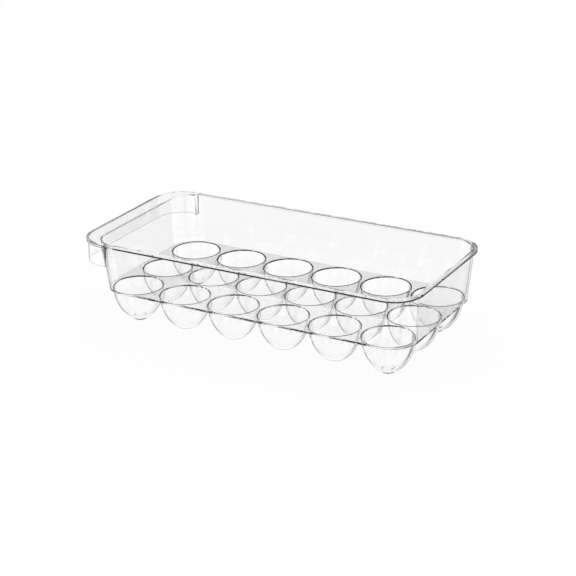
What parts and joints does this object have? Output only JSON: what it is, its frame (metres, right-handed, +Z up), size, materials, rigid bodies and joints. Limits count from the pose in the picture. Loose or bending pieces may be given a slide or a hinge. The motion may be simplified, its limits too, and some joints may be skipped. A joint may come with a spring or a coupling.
{
  "type": "egg carrier",
  "caption": "Open clear plastic egg tray with rows of round cups under a deck, drafted walls, turned-out rim and an end grip with a skirt.",
  "frame": {"origin": "middle of the footprint, on the surface that the four corner pads stand on", "axes": "+Z up, X along the length with the grip at -X, Y across the width"},
  "size_m": [0.3296, 0.1578, 0.0784],
  "materials": {
    "clear_plastic": "colourless clear moulded plastic, polished on every face, index of refraction about 1.55"
  },
  "bodies": {
    "root": {"tray_wall": "clear_plastic", "rim": "clear_plastic", "grip_skirt": "clear_plastic", "egg_cup_r1c1": "clear_plastic", "egg_cup_r1c2": "clear_plastic", "egg_cup_r1c3": "clear_plastic", "egg_cup_r1c4": "clear_plastic", "egg_cup_r1c5": "clear_plastic", "egg_cup_r1c6": "clear_plastic", "egg_cup_r2c1": "clear_plastic", "egg_cup_r2c2": "clear_plastic", "egg_cup_r2c3": "clear_plastic", "egg_cup_r2c4": "clear_plastic", "egg_cup_r2c5": "clear_plastic", "egg_cup_r2c6": "clear_plastic", "egg_cup_r3c1": "clear_plastic", "egg_cup_r3c2": "clear_plastic", "egg_cup_r3c3": "clear_plastic", "egg_cup_r3c4": "clear_plastic", "egg_cup_r3c5": "clear_plastic", "egg_cup_r3c6": "clear_plastic"}
  },
  "joints": []
}
